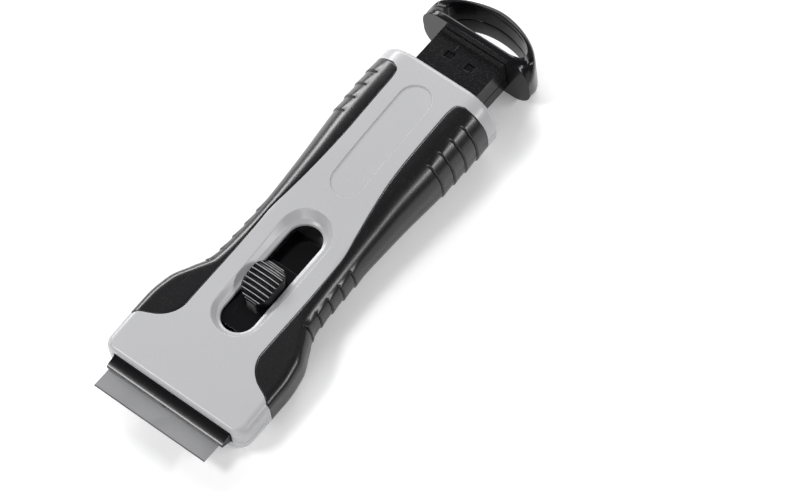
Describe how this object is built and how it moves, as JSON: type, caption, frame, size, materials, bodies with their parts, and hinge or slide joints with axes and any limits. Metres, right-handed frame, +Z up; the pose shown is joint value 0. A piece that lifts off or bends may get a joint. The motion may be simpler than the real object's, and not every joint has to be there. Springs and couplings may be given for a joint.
{
  "type": "ceramic hob scraper",
  "caption": "Waisted two-tone hand scraper with a flat sliding razor blade, ribbed thumb button, soft side grips and a pull-out blade drawer ending in a hanging loop.",
  "frame": {"origin": "on the rest plane, under the middle of the overall length, with the blade out and the drawer part way out", "axes": "+Y along the handle from the blade to the hanging loop, +X across it, +Z up from the flat underside to the thumb button"},
  "size_m": [0.0494, 0.154, 0.021],
  "materials": {
    "shell_grey": "satin moulded ABS, light grey",
    "grip_black": "soft-touch elastomer, near black, finely grained",
    "jaw_black": "black nylon, semi-matt",
    "button_black": "glossy black plastic",
    "drawer_black": "black plastic with a fine spark-eroded grain",
    "loop_black": "glossy black plastic",
    "blade_steel": "ground carbon steel, satin grey",
    "spine_steel": "folded tinned steel, satin",
    "screw_steel": "zinc plated steel",
    "spring_steel": "bright spring wire"
  },
  "bodies": {
    "handle": {"upper_shell": "shell_grey", "lower_shell": "shell_grey", "left_grip": "grip_black", "right_grip": "grip_black", "shell_screws": "screw_steel"},
    "carriage": {"blade_holder": "jaw_black", "blade_clamp": "jaw_black", "jaw_screws": "screw_steel", "blade": "blade_steel", "blade_spine": "spine_steel", "button_spring": "spring_steel"},
    "button": {"thumb_button": "button_black"},
    "drawer": {"store_tray": "drawer_black", "store_lid": "drawer_black", "pull_loop": "loop_black", "spare_blade_1": "blade_steel", "spare_blade_2": "blade_steel", "spare_blade_3": "blade_steel", "spare_blade_4": "blade_steel", "spare_spine_1": "spine_steel", "spare_spine_2": "spine_steel", "spare_spine_3": "spine_steel", "spare_spine_4": "spine_steel"}
  },
  "joints": [
    {"name": "blade_slide", "type": "slide", "parent": "handle", "child": "carriage", "axis": [0, 1, 0], "range_m": [-0.007, 0.013]},
    {"name": "button_press", "type": "slide", "parent": "carriage", "child": "button", "axis": [0, 0, -1], "range_m": [0, 0.0012], "stiffness_N_per_m": 800, "deforming": ["button_spring"]},
    {"name": "drawer_slide", "type": "slide", "parent": "handle", "child": "drawer", "axis": [0, 1, 0], "range_m": [-0.014, 0.0265]}
  ]
}
